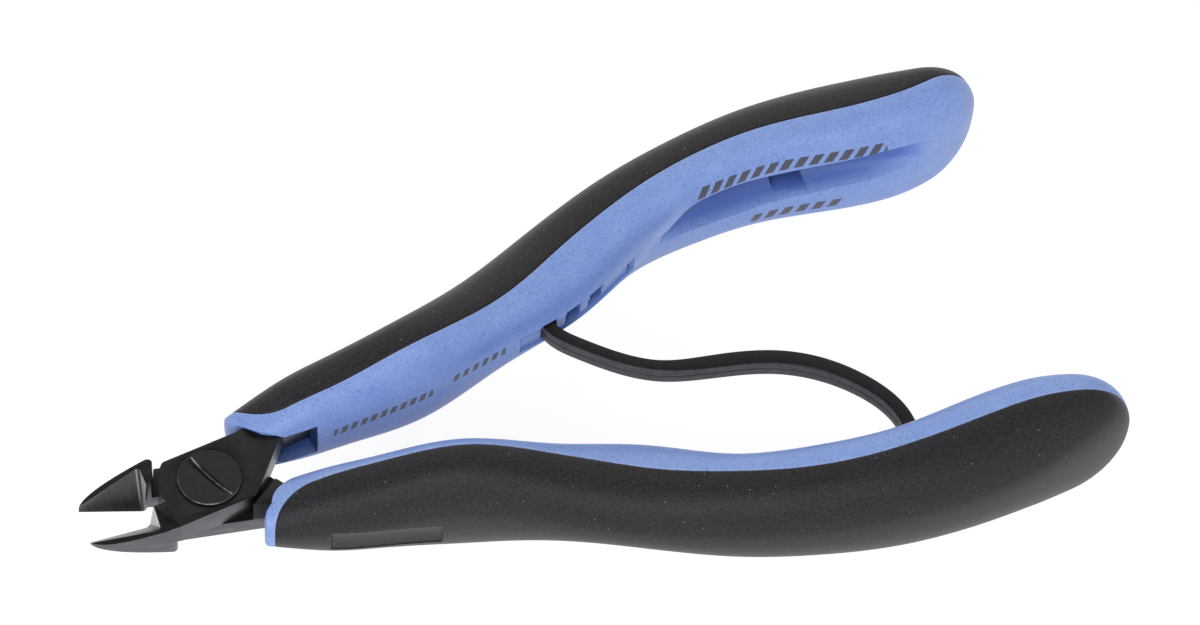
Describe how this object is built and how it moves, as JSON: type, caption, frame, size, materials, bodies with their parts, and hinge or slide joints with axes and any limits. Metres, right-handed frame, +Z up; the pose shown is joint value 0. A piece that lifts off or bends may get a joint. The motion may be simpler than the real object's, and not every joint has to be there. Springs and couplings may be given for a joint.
{
  "type": "flush cutter",
  "caption": "Small hand cutter for electronics work: lapped steel jaws on a slotted pivot screw, two-part moulded handles and a leaf return spring.",
  "frame": {"origin": "on the pivot axis, in the plane of the joint's flat underside", "axes": "-X towards the jaw tips, +X along the handles, +Z up through the screw's slotted head"},
  "size_m": [0.1424, 0.0712, 0.022],
  "materials": {
    "blackened_steel": "satin",
    "screw_steel": "satin",
    "spring_steel": "satin",
    "blue_core": "matte",
    "black_pad": "matte"
  },
  "bodies": {
    "right_half": {"right_lever": "blackened_steel", "right_handle_core": "blue_core", "right_grip_pad": "black_pad", "return_spring": "spring_steel"},
    "left_half": {"left_lever": "blackened_steel", "left_handle_core": "blue_core", "left_grip_pad": "black_pad", "pivot_screw": "screw_steel"}
  },
  "joints": [
    {"name": "pivot", "type": "hinge", "parent": "right_half", "child": "left_half", "pos_m": [0, 0, 0], "axis": [0, 0, 1], "range_deg": [0, 16.38], "stiffness_Nm_per_rad": 0.9, "deforming": ["return_spring"]}
  ]
}
